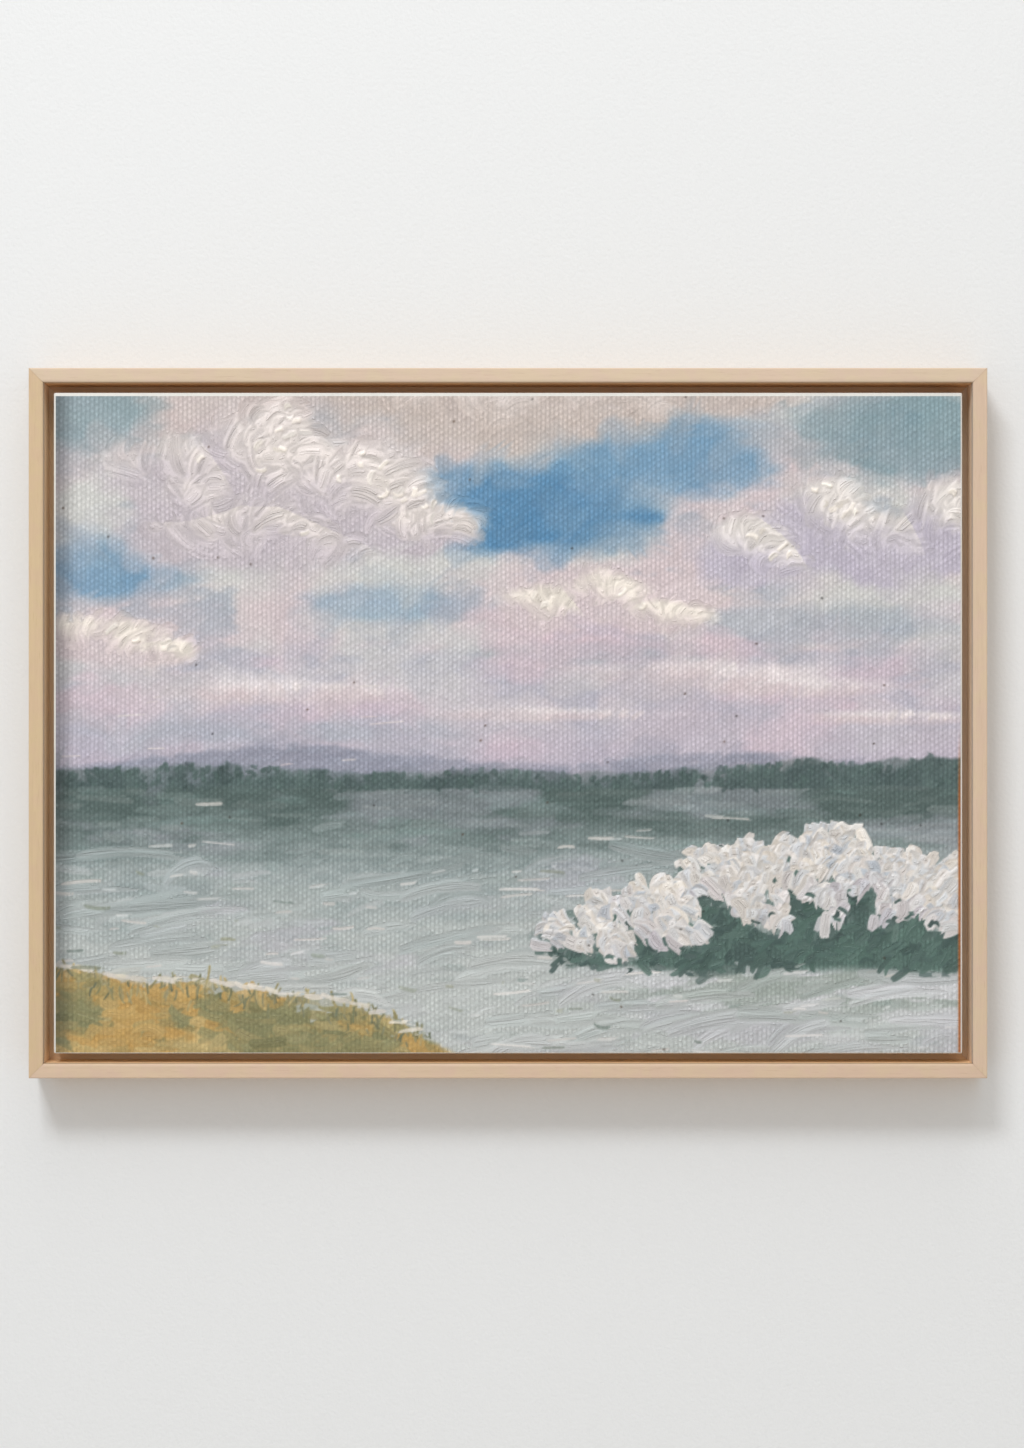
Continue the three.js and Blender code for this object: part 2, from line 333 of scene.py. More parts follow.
def inside_channel(place):
    """0 on the faces that are seen from outside, and 1 down in the gap beside the canvas."""
    across, up = place.axis("X"), place.axis("Z") - frame_middle.z
    from_side = (cad_high.x - cad_low.x) / 2 - across.maths("ABSOLUTE")
    from_end = (cad_high.z - cad_low.z) / 2 - up.maths("ABSOLUTE")
    inward = from_side.maths("MINIMUM", from_end)
    past_face = inward.ramp(FACE_WIDTH - FACE_EDGE, FACE_WIDTH - 0.0001)
    below_face = place.axis("Y").ramp(cad_low.y + 0.0003, cad_low.y + 0.0003 + FACE_EDGE)
    before_back = place.axis("Y").ramp(0.0005 - LEDGE_THICKNESS, -0.0005 - LEDGE_THICKNESS)
    return past_face * below_face * before_back


def lacquered_wood(name, upright, tone, gap_shade_tint, offset):
    """The frame's wood in one tone, which on a rail is its painted light and shade and on the glue its own
    darker colour, with painted shade in the gap in one tint, and its pattern moved by an offset.
    """
    material, shader, place = new_finish(name)
    grain_place = along_grain(place, upright, offset)
    shifted = place.placed((1, 1, 1), offset)
    mottle = shifted.noise(MOTTLE_SCALE, 3, 0.55).ramp(0.38, 0.62)
    drift = shifted.noise(DRIFT_SCALE, 1)
    grain = grain_place.noise(GRAIN_SCALE, 3, 0.6)
    streaks = grain_place.noise(STREAK_SCALE, 2)
    pores = grain_place.noise(PORE_SCALE, 1).ramp(0.64, 0.72)
    colour = mottle.between(tinted(WOOD_PINK, tone), tinted(WOOD_STRAW, tone))
    plain = mottle.between(tinted(WOOD_PINK, WOOD_BEHIND), tinted(WOOD_STRAW, WOOD_BEHIND))
    colour = place.axis("Y").ramp(*SIDE_FADE).between(colour, plain)
    light = 0.885 + 0.12 * grain + 0.05 * streaks + 0.06 * drift
    shaded = place.node("ShaderNodeVectorMath", {"operation": "SCALE"}, {0: colour, "Scale": light})
    colour = (pores * 0.22).between(shaded, tinted(WOOD_PORE, tone))
    # Painted shade down in the gap beside the canvas, graded from the face to the floor.
    stain_and_gap_shade = place.axis("Y").ramp(cad_low.y, GAP_SHADE_FULL_DEPTH)
    stain_and_gap_shade = stain_and_gap_shade.between(tinted(GAP_SHADE_AT_FACE, gap_shade_tint), tinted(GAP_SHADE_AT_FLOOR, gap_shade_tint))
    colour = inside_channel(place).between(colour, stain_and_gap_shade)
    feed(
        shader,
        Base_Color=colour,
        Roughness=0.46 + 0.14 * grain,
        Normal=(grain * 0.6 - pores * 0.8).bumped(GRAIN_HEIGHT),
    )
    shader.inputs["Specular IOR Level"].default_value = 0.35
    return material


for number, (side, tone) in enumerate(RAIL_LIGHT_AND_SHADE.items()):
    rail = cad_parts[f"rail_{side}"]
    upright = side in ("left", "right")
    offset = (0.31 * number, 0.17 * number, 0.23 * number)
    finish = lacquered_wood(f"pale_wood_{side}", upright, tone, GAP_SHADE_TINTS[side], offset)
    rail.material_slots[0].material = finish

# Glue lines: wood glue that fills the hair's breadth between the mitred ends, a little darker than the
# wood. It was wiped off just below the faces and lacquered with them, and takes their painted shade in the
# gap.

GLUE_TONE = (0.80, 0.78, 0.76)
GLUE_GAP_SHADE_TINT = (1.0, 1.0, 1.0)
GLUE_PATTERN_OFFSET = (2.0, 1.0, 3.0)
GLUE_THICKNESS = 0.00019
GLUE_SET_BACK = 0.00012
LEDGE_REACH = 0.0349
OUTER_ARRIS, INNER_ARRIS = 0.0009, 0.0018
CORNER_TURNS = {"top_left": 45, "top_right": 135, "bottom_right": -135, "bottom_left": -45}


def choose(kind, test):
    """In edit mode, selects just the faces or edges whose test comes out true."""
    bpy.ops.mesh.select_mode(type={"faces": "FACE", "edges": "EDGE"}[kind])
    bpy.ops.mesh.select_all(action="DESELECT")
    mesh = bmesh.from_edit_mesh(bpy.context.object.data)
    for item in getattr(mesh, kind):
        if test(item):
            item.select_set(True)
    bmesh.update_edit_mesh(bpy.context.object.data)


def edges_across(inward, depth):
    """Picks the edges that cross the glue sheet at one corner of its outline."""
    return lambda edge: all(math.hypot(end.co.x - inward, end.co.y - depth) < 1e-5 for end in edge.verts)


face_from, face_to = GLUE_SET_BACK, FACE_WIDTH - GLUE_SET_BACK
glue_front, glue_back = cad_low.y + GLUE_SET_BACK, cad_high.y - GLUE_SET_BACK
bpy.ops.object.select_all(action="DESELECT")
bpy.ops.mesh.primitive_cube_add(
    size=1,
    location=((face_from + face_to) / 2, (glue_front + glue_back) / 2, 0),
    scale=(face_to - face_from, glue_back - glue_front, GLUE_THICKNESS),
)
glue = settle(bpy.context.object, "glue")
bpy.ops.object.mode_set(mode="EDIT")
bpy.ops.mesh.select_all(action="SELECT")
bpy.ops.mesh.bisect(plane_co=(0, GLUE_SET_BACK - LEDGE_THICKNESS, 0), plane_no=(0, 1, 0))
choose("faces", lambda face: face.normal.x > 0.5 and face.calc_center_median().y > -LEDGE_THICKNESS)
bpy.ops.mesh.extrude_region_move(TRANSFORM_OT_translate={"value": (LEDGE_REACH - FACE_WIDTH, 0, 0)})
for inward, depth, radius in (
    (face_from, glue_front, OUTER_ARRIS),
    (face_from, glue_back, OUTER_ARRIS),
    (face_to, glue_front, INNER_ARRIS),
):
    choose("edges", edges_across(inward, depth))
    bpy.ops.mesh.bevel(offset=radius, segments=5, affect="EDGES")
bpy.ops.object.mode_set(mode="OBJECT")
dried_glue = lacquered_wood("dried_glue", False, GLUE_TONE, GLUE_GAP_SHADE_TINT, GLUE_PATTERN_OFFSET)
glue.data.materials.append(dried_glue)

for corner, turn in CORNER_TURNS.items():
    glue_line = glue.copy()
    glue_line.data = glue.data.copy()
    bpy.context.scene.collection.objects.link(glue_line)
    corner_x = cad_low.x if "left" in corner else cad_high.x
    corner_z = cad_high.z if "top" in corner else cad_low.z
    glue_line.location = (corner_x, 0, corner_z)
    glue_line.rotation_euler = (0, math.radians(turn), 0)
    glue_line.scale = (math.sqrt(2), 1, 1)
    settle(glue_line, f"glue_{corner}")
    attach(glue_line, "root")
bpy.data.objects.remove(glue)

# Canvas: one piece of coarse cotton, primed white on its outer side, drawn over the bars and round them.
# It is stapled behind with its raw edge showing, and the side towards the bars is bare cotton.

CLOTH_THICKNESS = 0.0008
CLOTH_EDGE_RADIUS = 0.0010
CLOTH_TURNOVER = 0.032
RIB_PITCH = 0.00272
BEAD_PITCH = 0.00373
RIB_WANDER, BEAD_WANDER = 0.4 * RIB_PITCH, 0.5 * BEAD_PITCH
RIB_HEIGHT, BEAD_HEIGHT, TWIST_HEIGHT, LOWEST = 0.50, 0.19, 0.013, 0.24
PRIMER_WHITE = (0.80, 0.785, 0.735, 1)
PRIMER_THIN = (0.744, 0.730, 0.684, 1)
PRIMER_RIB_HIGHLIGHT = (0.848, 0.832, 0.779, 1)
PRIMER_CREASE_SHADE = (0.360, 0.353, 0.331, 1)
PRIMED_WEAVE_HEIGHT = 0.00014
LAP_WANDER = 0.0012
BARE_COTTON = (0.60, 0.53, 0.40, 1)
COTTON_SHADE = (0.40, 0.34, 0.24, 1)
BARE_WEAVE_HEIGHT = 0.0003

canvas_low, canvas_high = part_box("canvas")
canvas_middle = (canvas_low + canvas_high) / 2


def weave(place):
    """Height of a coarse plain weave, 0 to 1: upright ribs, beaded where the cross threads pass."""
    wander = place.noise(45, 2) - 0.5
    across = (place.axis("X") + wander * RIB_WANDER) * (math.pi / RIB_PITCH)
    upward = (place.axis("Z") + wander * BEAD_WANDER) * (2 * math.pi / BEAD_PITCH)
    swing = across.maths("COSINE")
    beads = swing * upward.maths("COSINE")
    twist = across.maths("SINE") * upward.maths("SINE")
    return RIB_HEIGHT * swing.maths("ABSOLUTE") + BEAD_HEIGHT * beads + TWIST_HEIGHT * twist + LOWEST


def on_outer_edge(edge):
    """Whether an edge lies on the outline of the stretched cloth, at its front, sides or corners."""
    half = (canvas_high - canvas_low) / 2
    ends = [end.co - canvas_middle for end in edge.verts]
    at_side = all(abs(end.x) > half.x - 1e-5 for end in ends)
    at_end = all(abs(end.z) > half.z - 1e-5 for end in ends)
    along_depth = abs(ends[0].y - ends[1].y) > 1e-3
    return (at_side and at_end) if along_depth else (at_side or at_end)


bpy.ops.object.select_all(action="DESELECT")
bpy.ops.mesh.primitive_cube_add(size=1, location=canvas_middle, scale=canvas_high - canvas_low)
cloth = settle(bpy.context.object, "canvas_cloth")
bpy.ops.object.mode_set(mode="EDIT")
choose("faces", lambda face: face.normal.y > 0.5)
bpy.ops.mesh.inset(thickness=CLOTH_TURNOVER)
bpy.ops.mesh.delete(type="FACE")
choose("edges", on_outer_edge)
bpy.ops.mesh.bevel(offset=CLOTH_EDGE_RADIUS, segments=4, affect="EDGES")
bpy.ops.object.mode_set(mode="OBJECT")

primed_cotton, shader, place = new_finish("primed_cotton")
threads = weave(place)
stain_and_gap_shade = place.noise(22, 3)
chalk = stain_and_gap_shade.ramp(0.35, 0.7).between(PRIMER_WHITE, PRIMER_THIN)
# The primer is lighter on the rib tops, as a painted highlight on the weave.
chalk = (threads * 0.25).between(chalk, PRIMER_RIB_HIGHLIGHT)
across, up = place.axis("X"), place.axis("Z") - canvas_middle.z
from_side = canvas_high.x - across.maths("ABSOLUTE")
from_end = (canvas_high.z - canvas_middle.z) - up.maths("ABSOLUTE")
off_fold = from_side - from_end + (stain_and_gap_shade - 0.5) * LAP_WANDER
behind = place.axis("Y").ramp(canvas_high.y - 0.0004, canvas_high.y - 0.0002)
lapped = off_fold.ramp(-0.0004, 0.0002) * behind
# Painted shade: the cloth is darker along the crease where the turnover folds over itself at the corners
# behind.
crease_shade = (1 - off_fold.maths("ABSOLUTE").ramp(0.0001, 0.0009)) * behind
feed(
    shader,
    Base_Color=(crease_shade * 0.7).between(chalk, PRIMER_CREASE_SHADE),
    Roughness=0.72 + 0.2 * stain_and_gap_shade,
    Normal=(threads + 3 * lapped).bumped(PRIMED_WEAVE_HEIGHT),
)

bare_cotton, shader, place = new_finish("bare_cotton")
threads = weave(place)
slubs = place.placed((1, 1, 0.08)).noise(420, 3)
# The bare cotton is darker between the threads as painted shade, and its slubs vary its own colour.
feed(
    shader,
    Base_Color=(threads * 0.8 + slubs * 0.4 - 0.1).between(COTTON_SHADE, BARE_COTTON),
    Roughness=0.85 + 0.1 * slubs,
    Normal=(threads + slubs * 0.5).bumped(BARE_WEAVE_HEIGHT),
)

cloth.data.materials.append(primed_cotton)
cloth.data.materials.append(bare_cotton)
thickness = cloth.modifiers.new("thickness", "SOLIDIFY")
thickness.thickness = CLOTH_THICKNESS
thickness.offset = -1
thickness.use_even_offset = True
thickness.material_offset = 1
thickness.material_offset_rim = 1
select_only(cloth)
bpy.ops.object.modifier_apply(modifier="thickness")
bpy.ops.object.shade_smooth_by_angle(angle=math.radians(35))
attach(cloth, "root")
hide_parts("canvas")

# Picture: an invented lake shore under a cloudy sky, in oils, from thin scrubbed colour to thick white.
# It is laid stroke by stroke on a fine grid. Each stroke leaves its colour, its bristle ridges and the
# paint pushed to its edges and end. Lengths on the picture are in millimetres, to the right and down.

FILM_MARGIN_TOP, FILM_MARGIN_BOTTOM = 0.0021, 0.0006
FILM_MARGIN_LEFT, FILM_MARGIN_RIGHT = 0.0012, 0.0010
FILM_COLUMNS, FILM_ROWS = 767, 556
HORIZON = 232.0
BRISTLE_PITCH = 1.9

film_left = canvas_low.x + FILM_MARGIN_LEFT
film_right = canvas_high.x - FILM_MARGIN_RIGHT
film_top = canvas_high.z - FILM_MARGIN_TOP
film_bottom = canvas_low.z + FILM_MARGIN_BOTTOM
film_width = (film_right - film_left) * 1000
film_height = (film_top - film_bottom) * 1000
right_of, down_to = np.meshgrid(
    np.linspace(0, film_width, FILM_COLUMNS),
    np.linspace(0, film_height, FILM_ROWS),
)
mesh_step = film_width / (FILM_COLUMNS - 1)


def eased(low, high, value):
    share = np.clip((value - low) / (high - low), 0, 1)
    return share * share * (3 - 2 * share)


def lumps(across, down, cell, seed, layers=4):
    """A smooth random field from 0 to 1, with lumps about one cell wide and ever finer ones on them."""
    field = np.zeros(np.shape(across))
    weight, sum_of_weights = 1.0, 0.0
    for layer in range(layers):
        dice = np.random.default_rng(seed * 37 + layer).random((128, 128))
        x, y = across / cell + 40.5, down / cell + 40.5
        column, row = np.floor(x).astype(int), np.floor(y).astype(int)
        x, y = x - column, y - row
        x, y = x * x * (3 - 2 * x), y * y * (3 - 2 * y)
        near, far = row % 128, (row + 1) % 128
        left, right = column % 128, (column + 1) % 128
        upper = dice[near, left] * (1 - x) + dice[near, right] * x
        lower = dice[far, left] * (1 - x) + dice[far, right] * x
        field += weight * (upper * (1 - y) + lower * y)
        sum_of_weights += weight
        weight, cell = weight * 0.55, cell / 2
    return field / sum_of_weights


def tube(red, green, blue):
    return np.array((red, green, blue)) / 255


def washed(field, mask, colour):
    return field + (colour - field) * mask[..., None]


CREAM, WARM_WHITE, COOL_WHITE = tube(240, 230, 218), tube(233, 225, 219), tube(222, 222, 223)
PINK_GREY, LILAC_GREY, BLUE_GREY = tube(212, 196, 198), tube(190, 182, 196), tube(158, 168, 180)
WARM_SHADE, PALE_GREY = tube(198, 184, 176), tube(208, 207, 203)
SKY_BLUE, DEEP_BLUE, SKY_TEAL = tube(106, 148, 180), tube(72, 126, 168), tube(112, 144, 154)
HILL_BLUE, FOREST_TEAL, FOREST_DARK = tube(138, 142, 158), tube(88, 108, 104), tube(60, 76, 76)
LAKE_TEAL, LAKE_GREY, LAKE_LIGHT = tube(108, 131, 127), tube(152, 163, 163), tube(190, 194, 191)
LEAF_GREEN, LEAF_DARK, OLIVE = tube(88, 116, 106), tube(56, 74, 72), tube(132, 130, 92)
OCHRE, OCHRE_LIGHT, RUST = tube(190, 152, 88), tube(214, 186, 128), tube(150, 92, 48)

# Clouds and bushes are heaps of round lobes: middle to the right and down, reach across and down.

BIG_CLOUD = [(84, 58, 46, 34), (128, 44, 50, 36), (176, 62, 56, 32), (118, 84, 80, 24), (222, 82, 40, 16)]
RIGHT_CLOUD = [(432, 96, 34, 20), (470, 80, 36, 26), (510, 94, 40, 24), (548, 84, 30, 30)]
PUFFS = [(300, 132, 30, 13), (336, 124, 24, 15), (372, 136, 30, 10), (28, 150, 36, 14), (60, 158, 26, 8)]
LOW_BANK = [(150, 182, 76, 7), (402, 172, 64, 9), (452, 178, 52, 6), (300, 196, 70, 4), (520, 198, 50, 4)]
TOP_CLOUD = [(262, 6, 70, 30), (330, 0, 66, 26), (206, -2, 40, 18), (404, -6, 60, 18)]
BUSHES = [(330, 336, 34, 16), (372, 322, 38, 24), (420, 308, 44, 30), (470, 300, 46, 34), (520, 312, 50, 36)]


def heap(lobes, seed, raggedness=0.75, cell=26):
    """How deep each point lies in a heap of lobes, how high up on its lobe, and the way round the lobe."""
    crumble = lumps(right_of, down_to, cell, seed, 5) - 0.5
    depth = np.full(right_of.shape, -9.0)
    height_on_lobe = np.zeros(right_of.shape)
    way_round = np.zeros(right_of.shape)
    for middle_right, middle_down, reach_across, reach_down in lobes:
        across = (right_of - middle_right) / reach_across
        down = (down_to - middle_down) / reach_down
        here = 1 - np.hypot(across, down)
        nearer = here > depth
        depth = np.where(nearer, here, depth)
        height_on_lobe = np.where(nearer, 0.5 * across - down, height_on_lobe)
        way_round = np.where(nearer, np.arctan2(down, across) + math.pi / 2, way_round)
    return depth + raggedness * crumble, height_on_lobe + 1.6 * crumble, way_round


def billowed(field, lobes, seed, light, shade, edge, cell=26):
    """Paints a heap as a cloud lit from above, and gives its shape, its lights and the way round it."""
    depth, height_on_lobe, way_round = heap(lobes, seed, 0.75, cell)
    shape = eased(-edge, edge, depth)
    lit = eased(-0.35, 0.85, height_on_lobe)
    body = shade + (light - shade) * lit[..., None]
    return field + (body - field) * shape[..., None], shape * lit, way_round


drift = lumps(right_of, down_to * 1.7, 90, 1)
fine_drift = lumps(right_of, down_to * 2.2, 38, 2)
scene = washed(np.zeros((*right_of.shape, 3)) + PALE_GREY, eased(0.35, 0.62, drift), PINK_GREY)
scene = washed(scene, 0.65 * eased(0.5, 0.68, fine_drift), BLUE_GREY)
scene = washed(scene, 0.6 * eased(60, 0, down_to) * eased(0.3, 0.6, drift), WARM_SHADE)
scene = washed(scene, 0.75 * eased(120, 215, down_to + 30 * (fine_drift - 0.5)), LILAC_GREY)
openings = [
    (296, 70, 84, 30, DEEP_BLUE, 0.90), (372, 36, 80, 32, SKY_BLUE, 0.85), (520, 24, 80, 30, SKY_TEAL, 0.75),
    (30, 108, 62, 22, SKY_BLUE, 0.8), (14, 12, 50, 28, SKY_TEAL, 0.65), (210, 128, 60, 12, SKY_BLUE, 0.45),
    (470, 140, 90, 12, BLUE_GREY, 0.6), (120, 206, 120, 8, BLUE_GREY, 0.5), (330, 158, 80, 8, SKY_TEAL, 0.35),
]
for middle_right, middle_down, reach_across, reach_down, colour, strength in openings:
    away = np.hypot((right_of - middle_right) / reach_across, (down_to - middle_down) / reach_down)
    ragged = away + 0.9 * (fine_drift - 0.5) + 0.6 * (drift - 0.5)
    scene = washed(scene, strength * eased(1.15, 0.55, ragged), colour)
rosy = lumps(right_of, down_to * 3.0, 60, 5)
scene = washed(scene, 0.55 * eased(0.52, 0.72, rosy) * eased(90, 150, down_to), tube(216, 190, 200))
scene = washed(scene, 0.6 * eased(HORIZON - 26, HORIZON, down_to), tube(186, 176, 192))

scene, top_lit, top_round = billowed(scene, TOP_CLOUD, 11, tube(228, 219, 215), WARM_SHADE, 0.30)
scene, big_lit, big_round = billowed(scene, BIG_CLOUD, 12, tube(228, 218, 213), tube(196, 186, 192), 0.26)
scene, right_lit, right_round = billowed(scene, RIGHT_CLOUD, 13, WARM_WHITE, LILAC_GREY, 0.20)
scene, puff_lit, puff_round = billowed(scene, PUFFS, 14, CREAM, PINK_GREY, 0.28, 18)
scene, bank_lit, bank_round = billowed(scene, LOW_BANK, 15, tube(232, 222, 222), PINK_GREY, 0.5, 22)

# The far side of the lake: hazy hills, a dark line of woods, and both again in the water.

hill_line = HORIZON - 3 - 14 * np.exp(-(((right_of - 150) / 95) ** 2))
hill_line = hill_line - 9 * np.exp(-(((right_of - 430) / 80) ** 2))
hill_line = hill_line + 5 * (lumps(right_of, right_of * 0, 40, 21) - 0.5)
hills = eased(-2.5, 2.5, down_to - hill_line)
scene = washed(scene, 0.85 * hills, HILL_BLUE + 0.1 * (fine_drift[..., None] - 0.5))
wood_rise = 9 + 16 * (lumps(right_of, right_of * 0, 34, 22) - 0.35)
wood_rise = wood_rise + 3.0 * lumps(right_of, right_of * 0, 5, 23)
wood_rise = wood_rise * (0.55 + 0.5 * eased(60, 0, np.abs(right_of - 90)) + 0.6 * eased(330, 560, right_of))
woods = eased(-1.2, 1.8, down_to - (HORIZON + 5 - wood_rise))
wood_colour = FOREST_DARK + (FOREST_TEAL - FOREST_DARK) * lumps(right_of, down_to, 14, 24)[..., None] * 1.3
scene = scene + (wood_colour - scene) * (0.94 * woods)[..., None]

shore = HORIZON + 9 + 2.0 * (lumps(right_of, right_of * 0, 60, 25) - 0.5)
lake = eased(-0.8, 1.4, down_to - shore)
depth_of_lake = np.clip((down_to - shore) / (film_height - HORIZON), 0, 1)
swell = lumps(right_of * 0.22, down_to, 7, 26)
reflected = eased(0.30, 0.02, depth_of_lake + 0.22 * (swell - 0.5) - wood_rise / 700)
lit_water = eased(0.1, 0.75, depth_of_lake + 0.5 * (swell - 0.5))
lake_colour = LAKE_GREY + (LAKE_LIGHT - LAKE_GREY) * lit_water[..., None]
lake_colour = washed(lake_colour, 0.93 * reflected, FOREST_TEAL * 0.87)
lake_colour = washed(lake_colour, 0.5 * eased(0.56, 0.72, swell) * eased(0.5, 0.1, depth_of_lake), LAKE_TEAL)
lake_colour = washed(lake_colour, 0.35 * eased(0.5, 0.7, rosy), LILAC_GREY)
scene = scene + (lake_colour - scene) * lake[..., None]

# The near side: an ochre bank at the lower left, and a hedge in white blossom at the lower right.

bank_line = 352 + 0.10 * right_of + 14 * (lumps(right_of, right_of * 0, 70, 31) - 0.5)
bank_line = bank_line + 60 * eased(170, 330, right_of)
meadow = eased(-2.5, 3.5, down_to - bank_line + 5 * (fine_drift - 0.5))
meadow_colour = OCHRE + (OLIVE - OCHRE) * eased(0.45, 0.65, lumps(right_of, down_to * 1.6, 30, 32))[..., None]
meadow_colour = washed(meadow_colour, 0.7 * eased(0.56, 0.7, fine_drift), OCHRE_LIGHT)
scene = scene + (meadow_colour - scene) * meadow[..., None]
hedge_depth, hedge_height = heap(BUSHES, 33, 0.7, 20)[:2]
hedge = eased(-0.1, 0.14, hedge_depth)
hedge_foot = 350 + 8 * (lumps(right_of, right_of * 0, 26, 35) - 0.5) - 10 * eased(380, 320, right_of)
below = eased(312, 350, right_of) * eased(-32, -16, down_to - hedge_foot) * eased(8, 0, down_to - hedge_foot)
hedge = np.maximum(hedge, below)
mirrored = eased(300, 390, right_of) * eased(hedge_foot, hedge_foot + 8, down_to) * eased(400, 362, down_to)
scene = washed(scene, 0.75 * mirrored * eased(0.35, 0.6, swell), tube(150, 160, 152))
scene = washed(scene, 0.7 * mirrored * eased(0.55, 0.4, swell), tube(214, 212, 216))
hedge_colour = LEAF_DARK + (LEAF_GREEN - LEAF_DARK) * lumps(right_of, down_to, 16, 34)[..., None] * 1.2
scene = scene + (hedge_colour - scene) * (0.95 * hedge)[..., None]
blossom = eased(-0.05, 0.12, hedge_depth) * eased(-0.65, -0.1, hedge_height)
scene = washed(scene, 0.75 * blossom, COOL_WHITE)
reference = np.clip(scene, 0, 1)

# Laying the strokes. The film keeps its colour, its height in millimetres, how thick the paint is from
# 0 to 1, and where each point lies on its stroke, for the finest bristle marks.

film_colour = reference.copy()
film_relief = 0.04 * lumps(right_of, down_to, 9, 41, 3)
film_body = np.zeros(right_of.shape)
film_along = right_of.copy()
film_across = down_to.copy()
canvas_ribs = np.abs(np.cos(right_of * math.pi / (RIB_PITCH * 1000)))
hand = np.random.default_rng(7)
bristles = hand.random((64, 128))


def smooth_row(row, position):
    left = np.floor(position).astype(int)
    share = position - left
    share = share * share * (3 - 2 * share)
    return bristles[row % 64, left % 128] * (1 - share) + bristles[row % 64, (left + 1) % 128] * share


def lay_stroke(
    x, y, turn, length, width, bend, colour, second, body, cover=1.0, dry=0.3, soft=0.8, wet=0.0, ridge=0.35
):
    """One stroke of a flat brush: its middle, turn, length, width and bend, and the two colours on it.

    body is the paint's height in millimetres. The rest say how well it covers, how dry the brush is
    towards the end, how soft its edge is, how far it mixes into the paint below, and how high the
    ridge is that it pushes to its edges.
    """
    reach = length / 2 + width
    left = max(int((x - reach) / mesh_step), 0)
    top = max(int((y - reach) / mesh_step), 0)
    window = (
        slice(top, int((y + reach) / mesh_step) + 2),
        slice(left, int((x + reach) / mesh_step) + 2),
    )
    if right_of[window].size == 0:
        return
    east, south = right_of[window] - x, down_to[window] - y
    along = east * math.cos(turn) + south * math.sin(turn)
    across = south * math.cos(turn) - east * math.sin(turn)
    across = across - bend * ((2 * along / length) ** 2 - 0.4) * width
    share = along / length + 0.5
    row = int(hand.integers(64))
    tooth = np.clip(1.9 * smooth_row(row, across / BRISTLE_PITCH + 60 + 0.03 * along) - 0.45, 0, 1)
    clump = smooth_row(row + 7, across / (3.1 * BRISTLE_PITCH) + 60)
    waver = smooth_row(row + 13, along / (0.8 * width) + 60) - 0.5
    half = 0.5 * width * (1 + 0.25 * waver) * np.clip(1 - np.abs(2 * share - 1) ** 7, 0, 1) ** 0.5
    end = 1 - dry * (0.75 * clump + 0.35 * tooth)
    to_side = half - np.abs(across)
    to_end = (end - share) * length
    to_start = (share - 0.05 * clump) * length
    laid = np.clip(to_side / soft + 0.5, 0, 1)
    laid = laid * np.clip(to_end / (1.4 * soft) + 0.5, 0, 1) * np.clip(to_start / soft + 0.5, 0, 1)
    thirst = 0.55 * canvas_ribs[window] + 0.45 * tooth
    laid = laid * eased(0.0, 0.25, thirst + 1.15 - dry * 1.1 * eased(0.35, 1.0, share) - 0.6 * dry)
    laid = laid * cover
    streak = np.clip(1.6 * (0.6 * clump + 0.4 * tooth) - 0.35, 0, 1)[..., None]
    paint = (colour * (1 - streak) + second * streak) * (1 - wet) + reference[window] * wet
    # Painted shade and light on the bristle marks: thick paint is darker in the grooves and lighter on the
    # ridges.
    paint = paint * (1 + min(body, 0.4) * 0.40 * (tooth - 0.6))[..., None]
    edge_ridge = np.exp(-((to_side / 0.9 - 0.6) ** 2))
    end_ridge = np.exp(-((to_end / 1.2 - 0.8) ** 2))
    relief = body * (0.45 + 0.65 * tooth + ridge * edge_ridge + 1.4 * ridge * end_ridge * tooth)
    kept = laid[..., None]
    film_colour[window] = film_colour[window] * (1 - kept) + paint * kept
    film_relief[window] = film_relief[window] * (1 - 0.9 * laid) + relief * laid
    film_body[window] = film_body[window] * (1 - laid) + min(body / 0.5, 1) * laid
    on_top = laid > 0.5
    film_along[window] = np.where(on_top, along + 3.7 * row, film_along[window])
    film_across[window] = np.where(on_top, across + 11.3 * row, film_across[window])


def places(mask, count):
    """Random points where a mask is strong, from the top of the picture down, each with its colour."""
    odds = np.clip(mask, 0, None).ravel()
    chosen = hand.choice(odds.size, count, p=odds / odds.sum())
    chosen = np.sort(chosen) if count > 1 else chosen
    shift = hand.uniform(-0.5, 0.5, (count, 2)) * mesh_step
    return [
        (right_of.flat[k] + dx, down_to.flat[k] + dy, reference[k // FILM_COLUMNS, k % FILM_COLUMNS])
        for k, (dx, dy) in zip(chosen, shift)
    ]


def mixed(colour, other, share, jitter=0.02):
    return np.clip(colour + (other - colour) * share + hand.normal(0, jitter), 0, 1)


def shuffled(points):
    return [points[k] for k in hand.permutation(len(points))]


brush_drift = lumps(right_of, down_to, 34, 42, 2)
sky = 1 - woods
land = eased(-1, 2, down_to - shore)

for x, y, colour in shuffled(places(sky, 620)):
    turn = hand.normal(-0.25, 0.5)
    lay_stroke(
        x, y, turn, hand.uniform(26, 60), hand.uniform(9, 18), hand.normal(0, 0.25),
        mixed(colour, PALE_GREY, hand.uniform(0, 0.25)), mixed(colour, LILAC_GREY, 0.2),
        body=0.03, cover=0.34, dry=0.5, soft=5.0,
    )


